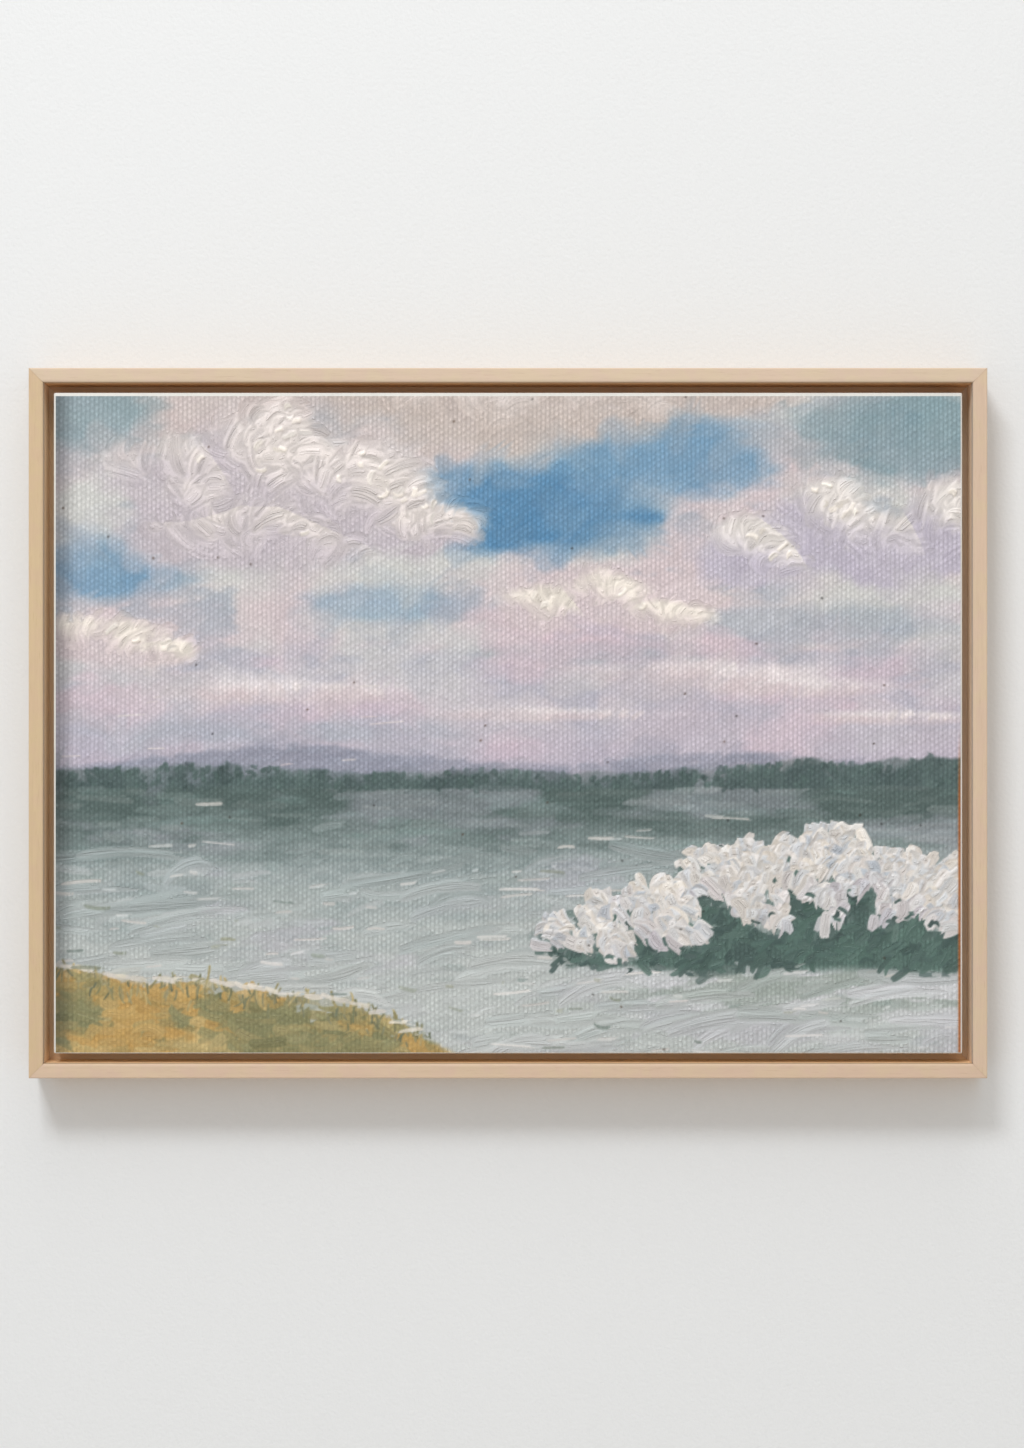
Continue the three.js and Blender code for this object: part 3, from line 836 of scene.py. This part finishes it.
def cloud_strokes(lights, way_round, count, size, body, light, shade):
    """Short curved strokes with a slant, drawn round the lobes of a cloud, thicker where it is lit."""
    for x, y, colour in shuffled(places(lights**1.2, count)):
        here = min(int(y / mesh_step), FILM_ROWS - 1), min(int(x / mesh_step), FILM_COLUMNS - 1)
        slant = -1.1 + 1.1 * math.sin(way_round[here]) + 2.2 * (brush_drift[here] - 0.5)
        lit = lights[here]
        lay_stroke(
            x, y, slant + hand.normal(0, 0.22), size * hand.uniform(1.1, 2.6), size * hand.uniform(0.5, 0.95),
            hand.normal(0.35, 0.3), mixed(colour, light, lit * hand.uniform(0.1, 0.8), 0.012),
            mixed(colour, shade, hand.uniform(0, 0.25), 0.012),
            body=body * (0.3 + 0.6 * lit) * hand.uniform(0.8, 1.1), cover=hand.uniform(0.8, 1.0),
            dry=hand.uniform(0.2, 0.8), soft=hand.uniform(0.9, 1.5), wet=hand.uniform(0.5, 0.85), ridge=0.10,
        )


cloud_strokes(top_lit, top_round, 200, 11, 0.40, WARM_WHITE, PINK_GREY)
cloud_strokes(big_lit, big_round, 900, 11, 0.62, CREAM, PINK_GREY)
cloud_strokes(right_lit, right_round, 520, 10, 0.58, WARM_WHITE, LILAC_GREY)
cloud_strokes(puff_lit, puff_round, 260, 8, 0.55, CREAM, PINK_GREY)
cloud_strokes(bank_lit, bank_round, 60, 5, 0.12, WARM_WHITE, PINK_GREY)
for lights, count in ((big_lit, 26), (right_lit, 16), (puff_lit, 10)):
    for x, y, colour in places(lights**4, count):
        lay_stroke(
            x, y, hand.normal(-0.6, 0.5), hand.uniform(5, 11), hand.uniform(2, 3.6), hand.normal(0, 0.6),
            mixed(CREAM, WARM_WHITE, hand.random()), mixed(CREAM, colour, 0.3),
            body=hand.uniform(0.5, 0.9), cover=1.0, dry=0.35,
        )

for x, y, colour in shuffled(places(hills * (1 - woods), 90)):
    lay_stroke(
        x, y, hand.normal(0, 0.15), hand.uniform(14, 34), hand.uniform(3, 6), 0.1,
        mixed(colour, LILAC_GREY, 0.2), mixed(colour, BLUE_GREY, 0.2),
        body=0.05, cover=0.5, dry=0.5, soft=1.6,
    )
for x, y, colour in shuffled(places(woods * (1 - lake), 420)):
    lay_stroke(
        x, y, -math.pi / 2 + hand.normal(0, 0.5), hand.uniform(3, 8), hand.uniform(2, 4), hand.normal(0, 0.4),
        mixed(colour, LEAF_GREEN, hand.uniform(0, 0.4)), mixed(colour, FOREST_DARK, 0.4),
        body=0.12, cover=0.8, dry=0.4, soft=0.9,
    )
calm = land * (1 - meadow) * (1 - hedge)
for x, y, colour in shuffled(places(calm, 620)):
    lay_stroke(
        x, y, hand.normal(0, 0.05), hand.uniform(14, 48), hand.uniform(2.0, 5.5), hand.normal(0, 0.15),
        mixed(colour, LAKE_LIGHT, hand.uniform(0, 0.35)), mixed(colour, LAKE_TEAL, hand.uniform(0, 0.3)),
        body=0.09, cover=0.62, dry=0.6, soft=1.2,
    )
for x, y, colour in shuffled(places(calm * eased(250, 310, down_to), 300)):
    tone = hand.random()
    lay_stroke(
        x, y, hand.normal(-0.10, 0.16), hand.uniform(12, 46), hand.uniform(2.2, 6), hand.normal(0.2, 0.4),
        mixed(colour, COOL_WHITE, 0.55 * tone, 0.012), mixed(colour, LAKE_GREY, 0.3 * tone, 0.012),
        body=0.26, cover=0.75, dry=0.8, soft=1.0, wet=0.2, ridge=0.2,
    )
for x, y, colour in shuffled(places(calm * eased(262, 330, down_to), 90)):
    tone = hand.random()
    lay_stroke(
        x, y, hand.normal(-0.09, 0.09), hand.uniform(38, 104), hand.uniform(4.5, 10), hand.normal(0.4, 0.5),
        mixed(colour, COOL_WHITE, 0.55 * tone, 0.012), mixed(colour, LAKE_GREY, 0.45 - 0.3 * tone, 0.012),
        body=0.34, cover=0.84, dry=0.6, soft=1.0, wet=0.25, ridge=0.2,
    )
for x, y, colour in shuffled(places(calm * eased(246, 300, down_to), 90)):
    lay_stroke(
        x, y, hand.normal(-0.03, 0.08), hand.uniform(8, 34), hand.uniform(1.0, 2.2), hand.normal(0, 0.4),
        mixed(WARM_WHITE, colour, 0.25), mixed(colour, COOL_WHITE, 0.4),
        body=0.30, cover=0.9, dry=0.8,
    )
for x, y, colour in shuffled(places(meadow, 300)):
    lay_stroke(
        x, y, hand.normal(0.12, 0.3), hand.uniform(9, 26), hand.uniform(3, 6.5), hand.normal(0, 0.4),
        mixed(colour, OCHRE_LIGHT, hand.uniform(0, 0.5)), mixed(colour, OLIVE, hand.uniform(0, 0.6)),
        body=0.2, cover=0.85, dry=0.4,
    )
for x, y, colour in shuffled(places(meadow * eased(20, 3, np.abs(down_to - bank_line)), 150)):
    tip = mixed(OCHRE_LIGHT, OLIVE, hand.random())
    lay_stroke(
        x, y - 4, -math.pi / 2 + hand.normal(0, 0.35), hand.uniform(6, 15), 1.3, hand.normal(0, 0.9),
        tip, mixed(tip, LEAF_DARK, 0.5), body=0.2, cover=0.9, dry=0.5,
    )
for x, y, colour in shuffled(places(hedge, 620)):
    lay_stroke(
        x, y, hand.normal(-0.5, 0.5), hand.uniform(7, 20), hand.uniform(2.4, 5), hand.normal(0.3, 0.5),
        mixed(colour, LEAF_GREEN, hand.uniform(0, 1)), mixed(colour, LEAF_DARK, 0.8),
        body=0.34, cover=0.9, dry=0.6, soft=0.8, wet=0.1,
    )
for x, y, colour in places(blossom**1.2, 520):
    here = min(int(y / mesh_step), FILM_ROWS - 1), min(int(x / mesh_step), FILM_COLUMNS - 1)
    lean = math.atan2(y - 380, (x - 440) * 0.55) + math.pi + 0.35 * math.sin(x / 17)
    white = mixed(WARM_WHITE, CREAM, hand.random())
    cool = mixed(COOL_WHITE, LILAC_GREY, hand.random() * 0.9)
    depth = 0.9 * eased(0.15, -0.75, hedge_height[here])
    lay_stroke(
        x, y, lean + hand.normal(0, 0.22), hand.uniform(11, 21), hand.uniform(5.5, 9.5), hand.normal(0, 0.35),
        mixed(white, cool, depth), mixed(white, BLUE_GREY, 0.25 + 0.5 * hand.random()),
        body=hand.uniform(0.5, 1.0), cover=1.0, dry=hand.uniform(0.3, 0.9), soft=0.7, ridge=0.16,
    )
for x, y, colour in places(blossom * eased(0.3, -0.6, hedge_height), 44):
    dark = mixed(LEAF_DARK, FOREST_TEAL, hand.random())
    lay_stroke(
        x, y + 6, hand.normal(-0.6, 0.8), hand.uniform(3, 9), hand.uniform(1.4, 3), hand.normal(0, 0.6),
        dark, mixed(dark, LEAF_GREEN, 0.5), body=0.3, cover=0.95, dry=0.4,
    )
for x in np.arange(6, 236, 7.0):
    y = float(bank_line[0, int(x / mesh_step)]) - 1.5
    pale = mixed(WARM_WHITE, CREAM, hand.random())
    lay_stroke(
        x, y, 0.12 + hand.normal(0, 0.08), hand.uniform(12, 26), hand.uniform(1.6, 3.2),
        hand.normal(0, 0.3), pale, mixed(pale, OLIVE, 0.3), body=0.35, cover=0.8, dry=0.9,
    )
for x, y, colour in shuffled(places(calm * eased(276, 330, down_to), 34)):
    ripple = mixed(OLIVE, FOREST_TEAL, hand.random())
    lay_stroke(
        x, y, hand.normal(0.02, 0.06), hand.uniform(8, 26), hand.uniform(1.2, 2.6),
        hand.uniform(-1.2, 0.4), mixed(ripple, colour, 0.3), mixed(ripple, colour, 0.7),
        body=0.2, cover=0.7, dry=0.9,
    )
for x, y, colour in places(sky * eased(150, 200, down_to) * eased(300, 100, right_of), 10):
    lay_stroke(
        x, y, hand.normal(-0.08, 0.03), hand.uniform(14, 40), 0.9, 0.1,
        WARM_WHITE, PINK_GREY, body=0.15, cover=0.7, dry=0.8,
    )
for x, y, colour in places(np.ones(right_of.shape), 46):
    speck = mixed(colour * 0.45, RUST, 0.3 * hand.random())
    lay_stroke(x, y, hand.uniform(0, 3), 1.9, 1.2, 0, speck, speck, body=0.2, cover=0.8, dry=0.1)

# Edges: the paint is darker towards the left edge, and warm ground is left bare at the right edge low down.

film_colour = film_colour * (1 - 0.30 * eased(14, 0, right_of + 3 * (fine_drift - 0.5)))[..., None]
bare_ground = eased(2.0, 1.0, film_width - right_of) * eased(0.5, 0.62, down_to / film_height)
film_colour = washed(film_colour, 0.85 * bare_ground, tube(166, 88, 34))
to_edge = np.minimum(np.minimum(right_of, film_width - right_of), np.minimum(down_to, film_height - down_to))
film_relief = film_relief * eased(0, 2.5, to_edge)
jump = np.max(np.abs(np.stack(np.gradient(film_across) + np.gradient(film_along))), axis=0)
unbroken = (jump < 1.5 * mesh_step).astype(float)
for axis in (0, 1):
    unbroken = np.minimum(unbroken, np.minimum(np.roll(unbroken, 1, axis), np.roll(unbroken, -1, axis)))
film_marks = film_body * unbroken
film_colour = np.clip(film_colour, 0, 1)

# Paint film: the dried paint, in six fields that meet without a seam, fixed on the primed cloth.
# Its thick strokes stand up to 1.7 mm high, and where it is thin the weave of the cloth shows through.

FILM_FIELDS = (3, 2)
FILM_LIFT = 0.00004
RELIEF_LIMIT = 0.0020
MARK_HEIGHT = 0.00050
WEAVE_HEIGHT = 0.00056
YARN_SCALE = (170, 1, 14)
HAIR_SCALE = (45, 760, 0)
GRIT_SCALE = 1500
FIELD_NAMES = ("land_left", "land_middle", "land_right", "sky_left", "sky_middle", "sky_right")


def oil_paint():
    """Oil paint that takes its colour and body from the film, with weave or bristle marks on it, in relief
    and in painted light and shade.
    """
    material, shader, place = new_finish("oil_paint")
    colour = place.node("ShaderNodeAttribute", {"attribute_name": "paint_colour"}, {}, "Color")
    stroke = place.node("ShaderNodeAttribute", {"attribute_name": "stroke_place"}, {}, "Vector")
    body = place.node("ShaderNodeAttribute", {"attribute_name": "paint_body"}, {}, "Fac")
    thin = 1 - body.ramp(0.15, 0.75)
    threads = weave(place) * place.noise(240, 2).ramp(0.25, 0.75, 0.62, 1.38)
    yarns = place.placed(YARN_SCALE).noise(1.0, 2)
    hairs = stroke.placed(HAIR_SCALE).noise(1.0, 2).ramp(0.3, 0.7)
    marked = stroke.axis("Z")
    grit = place.noise(GRIT_SCALE, 2)
    # Where the paint is thin it is lighter on the weave's ribs and darker in its hollows, partly paint caught
    # on the ribs and partly painted shade; thick strokes are darker in their bristle grooves as painted
    # shade.
    woven = threads * 0.34 - 0.20 + (yarns * 0.16 - 0.08)
    tone = 1 + thin * woven + (hairs * 0.20 - 0.10) * marked + (grit * 0.32 - 0.16)
    shaded = place.node("ShaderNodeVectorMath", {"operation": "SCALE"}, {0: colour, "Scale": tone})
    weave_bump = (threads * thin).bumped(WEAVE_HEIGHT)
    marks = (hairs * marked + grit * 0.25).bumped(MARK_HEIGHT, Normal=weave_bump)
    feed(shader, Base_Color=shaded, Roughness=0.55 - 0.20 * body + 0.08 * grit, Normal=marks)
    shader.inputs["Specular IOR Level"].default_value = 0.4
    return material


paint = oil_paint()
to_cloth_edge = np.minimum.reduce([
    right_of / 1000 + FILM_MARGIN_LEFT,
    film_width / 1000 - right_of / 1000 + FILM_MARGIN_RIGHT,
    down_to / 1000 + FILM_MARGIN_TOP,
    film_height / 1000 - down_to / 1000 + FILM_MARGIN_BOTTOM,
])
inset = np.clip(CLOTH_EDGE_RADIUS - to_cloth_edge, 0, CLOTH_EDGE_RADIUS)
edge_drop = CLOTH_EDGE_RADIUS - np.sqrt(CLOTH_EDGE_RADIUS**2 - inset**2)
film_out = np.clip(film_relief / 1000, 0, RELIEF_LIMIT) + FILM_LIFT
film_depth = canvas_low.y - film_out + edge_drop
slope_up, slope_right = np.gradient(film_depth[::-1], mesh_step / 1000)
film_normals = np.stack([slope_right, -np.ones(right_of.shape), slope_up], axis=-1)
film_normals /= np.linalg.norm(film_normals, axis=-1, keepdims=True)
linear_colour = np.where(film_colour <= 0.04045, film_colour / 12.92, ((film_colour + 0.055) / 1.055) ** 2.4)
linear_colour = np.concatenate([linear_colour, np.ones((*right_of.shape, 1))], axis=-1)
stroke_place = np.stack([film_along / 1000, film_across / 1000, film_marks], axis=-1)
film_places = np.stack([film_left + right_of / 1000, film_depth[::-1], film_bottom + down_to / 1000], axis=-1)


def film_field(name, columns, rows):
    """One field of the film: a grid that takes its shape, colour and marks from the picture."""
    bpy.ops.object.select_all(action="DESELECT")
    bpy.ops.mesh.primitive_grid_add(
        x_subdivisions=columns.stop - columns.start - 1,
        y_subdivisions=rows.stop - rows.start - 1,
        size=1,
        rotation=(math.radians(90), 0, 0),
    )
    field = settle(bpy.context.object, f"paint_{name}")
    mesh = field.data
    cut = (rows, columns)
    mesh.vertices.foreach_set("co", film_places[cut].astype(np.float32).ravel())
    for attribute, kind, key, values in (
        ("paint_colour", "FLOAT_COLOR", "color", linear_colour[::-1][cut]),
        ("stroke_place", "FLOAT_VECTOR", "vector", stroke_place[::-1][cut]),
        ("paint_body", "FLOAT", "value", film_body[::-1][cut]),
    ):
        made = mesh.attributes.new(attribute, kind, "POINT")
        made.data.foreach_set(key, values.astype(np.float32).ravel())
    mesh.uv_layers[0].name = "OFBake"
    bpy.ops.object.shade_smooth()
    mesh.normals_split_custom_set_from_vertices(film_normals[cut].reshape(-1, 3))
    mesh.materials.append(paint)
    mesh.update()
    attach(field, "root")
    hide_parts("canvas")
    return field


column_cuts = np.linspace(0, FILM_COLUMNS - 1, FILM_FIELDS[0] + 1).astype(int)
row_cuts = np.linspace(0, FILM_ROWS - 1, FILM_FIELDS[1] + 1).astype(int)
film_fields = []
for row in range(FILM_FIELDS[1]):
    for column in range(FILM_FIELDS[0]):
        film_fields.append(film_field(
            FIELD_NAMES[len(film_fields)],
            slice(int(column_cuts[column]), int(column_cuts[column + 1]) + 1),
            slice(int(row_cuts[row]), int(row_cuts[row + 1]) + 1),
        ))

# Stretcher bars: planed bare pine, mitred, with a slope on the side towards the cloth.
# The grain runs along each bar, with darker bands of late wood.

PINE_EARLY = (0.72, 0.52, 0.30, 1)
PINE_LATE = (0.52, 0.30, 0.13, 1)
PINE_STRETCH = 0.05
RING_SCALE, RING_BANDS = 75, 34
FIBRE_SCALE, FIBRE_HEIGHT = 1800, 0.00008


def planed_pine(name, upright, offset):
    material, shader, place = new_finish(name)
    scale = (1, 1, PINE_STRETCH) if upright else (PINE_STRETCH, 1, 1)
    grain_place = place.placed(scale, offset)
    bands = (grain_place.noise(RING_SCALE, 2, 0.4) * RING_BANDS).maths("FRACT")
    late = bands.ramp(0.45, 0.95) * (1 - bands.ramp(0.95, 1.0))
    fibres = grain_place.noise(FIBRE_SCALE, 2)
    base = (late * 0.75).between(PINE_EARLY, PINE_LATE)
    light = 0.9 + 0.2 * fibres
    feed(
        shader,
        Base_Color=place.node("ShaderNodeVectorMath", {"operation": "SCALE"}, {0: base, "Scale": light}),
        Roughness=0.6 + 0.2 * fibres,
        Normal=(fibres * 0.5 + late * 0.3).bumped(FIBRE_HEIGHT),
    )
    return material


for number, side in enumerate(("top", "bottom", "left", "right")):
    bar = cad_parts[f"stretcher_{side}"]
    offset = (0.4 * number, 0.2 * number, 0.3 * number)
    bar.material_slots[0].material = planed_pine(f"pine_{side}", side in ("left", "right"), offset)

# Screws: countersunk steel screws, zinc plated, with a cross recess. Eight go through the frame's ledge
# into the bars, and two hold each keyhole plate.

ZINC_BRIGHT = (0.60, 0.61, 0.60, 1)
ZINC_DULL = (0.50, 0.51, 0.51, 1)
CLOUDING_SCALE, SCRATCH_SCALE = 160, 2600
SCRATCH_HEIGHT = 0.00002
RECESS_SHARE = 0.56
RECESS_WIDTH_SHARE = 0.17
RECESS_DEPTH_SHARE = 0.30
RECESS_TAPER = 0.35
SAME_POINT, SLIVER = 1e-6, 1e-5

zinc, shader, place = new_finish("zinc_plate")
clouding = place.noise(CLOUDING_SCALE, 3)
scratches = place.placed((1, 1, 0.06)).noise(SCRATCH_SCALE, 2)
feed(
    shader,
    Base_Color=clouding.ramp(0.35, 0.65).between(ZINC_DULL, ZINC_BRIGHT),
    Roughness=0.30 + 0.22 * clouding + 0.1 * scratches,
    Normal=scratches.bumped(SCRATCH_HEIGHT),
)
shader.inputs["Metallic"].default_value = 1.0


def cross_recess(head_middle, head_width):
    """The cutter for a cross recess: two crossing blades that narrow as they go in."""
    reach = RECESS_SHARE * head_width
    width = RECESS_WIDTH_SHARE * head_width
    depth = RECESS_DEPTH_SHARE * head_width
    blades = []
    for blade_size in ((reach, 2 * depth, width), (width, 2 * depth, reach)):
        bpy.ops.object.select_all(action="DESELECT")
        bpy.ops.mesh.primitive_cube_add(size=1, location=head_middle, scale=blade_size)
        blade = settle(bpy.context.object, "recess_blade")
        bpy.ops.object.mode_set(mode="EDIT")
        choose("faces", lambda face: face.normal.y < -0.5)
        bpy.ops.transform.resize(value=(RECESS_TAPER, 1, RECESS_TAPER))
        bpy.ops.object.mode_set(mode="OBJECT")
        blades.append(blade)
    return blades


def merged(piece, distance):
    """Joins the vertices of a piece that lie within a distance of each other."""
    select_only(piece)
    bpy.ops.object.mode_set(mode="EDIT")
    bpy.ops.mesh.select_all(action="SELECT")
    bpy.ops.mesh.remove_doubles(threshold=distance)
    bpy.ops.object.mode_set(mode="OBJECT")


def driven_screw(node_name):
    """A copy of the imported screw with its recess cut."""
    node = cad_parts[node_name]
    screw = node.copy()
    screw.data = node.data.copy()
    bpy.context.scene.collection.objects.link(screw)
    screw.name = screw.data.name = f"{node_name}_driven"
    merged(screw, SAME_POINT)
    low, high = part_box(node_name)
    head_middle = Vector(((low.x + high.x) / 2, high.y, (low.z + high.z) / 2))
    for blade in cross_recess(head_middle, high.x - low.x):
        cutting = screw.modifiers.new("recess", "BOOLEAN")
        cutting.object = blade
        cutting.operation = "DIFFERENCE"
        cutting.solver = "EXACT"
        select_only(screw)
        bpy.ops.object.modifier_apply(modifier="recess")
        bpy.data.objects.remove(blade)
    merged(screw, SLIVER)
    bpy.ops.object.shade_smooth_by_angle(angle=math.radians(30))
    screw.data.materials.clear()
    screw.data.materials.append(zinc)
    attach(screw, "root")
    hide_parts(node_name)


for node_name in list(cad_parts):
    if node_name.startswith(("screw_", "hanger_screw_")):
        driven_screw(node_name)

# Keyhole plates: two pressed steel plates let flush into the back of the top rail, zinc plated like
# their screws. The frame hangs by them on two screws in the wall.

for side in ("left", "right"):
    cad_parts[f"hanger_{side}"].material_slots[0].material = zinc

# Staples: bright steel wire staples in a row along the turnover, shot through it into the bars.
# Each lies along its bar, a little askew, with its rounded shoulders pressed into the cloth.

STAPLE_CROWN = 0.0100
STAPLE_WIDTH = 0.0012
STAPLE_THICKNESS = 0.0005
STAPLE_LEG = 0.0020
STAPLE_PITCH = 0.048
STAPLE_INSET = 0.0262
STAPLE_CORNER_GAP = 0.03
STAPLE_SINK = 0.2 * STAPLE_THICKNESS
STAPLE_SKEW = 0.07
STAPLE_STRAY_ALONG, STAPLE_STRAY_AWAY = 0.002, 0.0006

staple_hand = np.random.default_rng(19)


def wire_staple(middle, upright):
    """A staple lying on the turnover, with two short legs that go down into it."""
    bpy.ops.object.select_all(action="DESELECT")
    bpy.ops.mesh.primitive_cube_add(size=1, scale=(STAPLE_CROWN, STAPLE_THICKNESS, STAPLE_WIDTH))
    staple = settle(bpy.context.object, "staple")
    leg_place = STAPLE_CROWN / 2 - STAPLE_THICKNESS
    bpy.ops.object.mode_set(mode="EDIT")
    for end in (-1, 1):
        bpy.ops.mesh.select_all(action="SELECT")
        bpy.ops.mesh.bisect(plane_co=(end * leg_place, 0, 0), plane_no=(1, 0, 0))
    choose("faces", lambda face: face.normal.y < -0.5 and abs(face.calc_center_median().x) > leg_place)
    bpy.ops.mesh.extrude_region_move(TRANSFORM_OT_translate={"value": (0, -STAPLE_LEG, 0)})
    choose("edges", lambda edge: all(end.co.y > 0 and abs(end.co.x) > leg_place + 1e-5 for end in edge.verts))
    bpy.ops.mesh.bevel(offset=0.8 * STAPLE_THICKNESS, segments=3, affect="EDGES")
    bpy.ops.object.mode_set(mode="OBJECT")
    select_only(staple)
    bpy.ops.object.shade_smooth_by_angle(angle=math.radians(40))
    staple.rotation_euler = (0, math.radians(90 * upright) + staple_hand.normal(0, STAPLE_SKEW), 0)
    staple.location = middle
    return settle(staple, "staple")


def staple_row(side):
    """The staples of one bar, joined into one piece."""
    upright = side in ("left", "right")
    outward = 1 if side in ("right", "top") else -1
    half = (canvas_high - canvas_low) / 2
    reach = (half.z if upright else half.x) - STAPLE_INSET - STAPLE_CORNER_GAP
    outside = half.y + STAPLE_THICKNESS / 2 - STAPLE_SINK
    row = []
    for along in np.linspace(-reach, reach, round(2 * reach / STAPLE_PITCH) + 1):
        along = along + staple_hand.normal(0, STAPLE_STRAY_ALONG)
        stray = staple_hand.normal(0, STAPLE_STRAY_AWAY)
        away = outward * ((half.x if upright else half.z) - STAPLE_INSET + stray)
        step = (away, outside, along) if upright else (along, outside, away)
        row.append(wire_staple(canvas_middle + Vector(step), upright))
    bpy.ops.object.select_all(action="DESELECT")
    for staple in row:
        staple.select_set(True)
    bpy.context.view_layer.objects.active = row[0]
    bpy.ops.object.join()
    staples = settle(row[0], f"staples_{side}")
    staples.data.materials.append(zinc)
    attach(staples, "root")


for side in ("top", "bottom", "left", "right"):
    staple_row(side)
